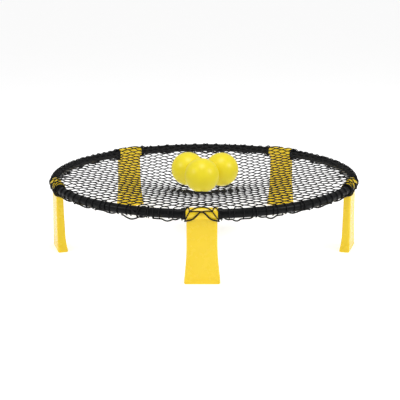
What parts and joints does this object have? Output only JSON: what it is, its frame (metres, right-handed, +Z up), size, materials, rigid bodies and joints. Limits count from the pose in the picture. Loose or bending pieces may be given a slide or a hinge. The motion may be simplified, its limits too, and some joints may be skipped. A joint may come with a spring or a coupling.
{
  "type": "round bounce-net game set",
  "caption": "Low round net on a black tube rim with fold-in yellow legs, the knotted net laced round the rim and sagging under soft yellow balls.",
  "frame": {"origin": "on the ground under the centre of the net", "axes": "+Z up, -Y towards leg 1 at the front, legs and rim tubes numbered from -Y towards +X"},
  "size_m": [0.9194, 0.9224, 0.2517],
  "materials": {
    "rim_plastic": "satin black",
    "leg_plastic": "satin warm yellow",
    "net_cord": "black knotted cord",
    "border_cord": "black braided cord",
    "ball_rubber": "soft matte lemon yellow",
    "valve_rubber": "matte lemon yellow"
  },
  "bodies": {
    "rim": {"rim_tube_1": "rim_plastic", "rim_tube_2": "rim_plastic", "rim_tube_3": "rim_plastic", "rim_tube_4": "rim_plastic", "rim_tube_5": "rim_plastic", "rim_coupler_1": "rim_plastic", "rim_coupler_2": "rim_plastic", "rim_coupler_3": "rim_plastic", "rim_coupler_4": "rim_plastic", "rim_coupler_5": "rim_plastic", "net": "net_cord", "net_border_cord": "border_cord"},
    "leg_1": {"leg_1": "leg_plastic"},
    "leg_2": {"leg_2": "leg_plastic"},
    "leg_3": {"leg_3": "leg_plastic"},
    "leg_4": {"leg_4": "leg_plastic"},
    "leg_5": {"leg_5": "leg_plastic"},
    "ball_1": {"ball_1": "ball_rubber", "ball_valve_1": "valve_rubber"},
    "ball_2": {"ball_2": "ball_rubber", "ball_valve_2": "valve_rubber"},
    "ball_3": {"ball_3": "ball_rubber", "ball_valve_3": "valve_rubber"}
  },
  "joints": [
    {"name": "leg_1_fold", "type": "hinge", "parent": "rim", "child": "leg_1", "pos_m": [0, -0.4415, 0.1865], "axis": [1, 0, 0], "range_deg": [0, 80]},
    {"name": "leg_2_fold", "type": "hinge", "parent": "rim", "child": "leg_2", "pos_m": [0.41989, -0.13643, 0.1865], "axis": [0.309, 0.9511, 0], "range_deg": [0, 80]},
    {"name": "leg_3_fold", "type": "hinge", "parent": "rim", "child": "leg_3", "pos_m": [0.25951, 0.35718, 0.1865], "axis": [-0.809, 0.5878, 0], "range_deg": [0, 80]},
    {"name": "leg_4_fold", "type": "hinge", "parent": "rim", "child": "leg_4", "pos_m": [-0.25951, 0.35718, 0.1865], "axis": [-0.809, -0.5878, 0], "range_deg": [0, 80]},
    {"name": "leg_5_fold", "type": "hinge", "parent": "rim", "child": "leg_5", "pos_m": [-0.41989, -0.13643, 0.1865], "axis": [0.309, -0.9511, 0], "range_deg": [0, 80]},
    {"name": "ball_1_lift", "type": "slide", "parent": "rim", "child": "ball_1", "axis": [0, 0, 1], "range_m": [0, 0.25]},
    {"name": "ball_2_lift", "type": "slide", "parent": "rim", "child": "ball_2", "axis": [0, 0, 1], "range_m": [0, 0.25]},
    {"name": "ball_3_lift", "type": "slide", "parent": "rim", "child": "ball_3", "axis": [0, 0, 1], "range_m": [0, 0.25]}
  ]
}
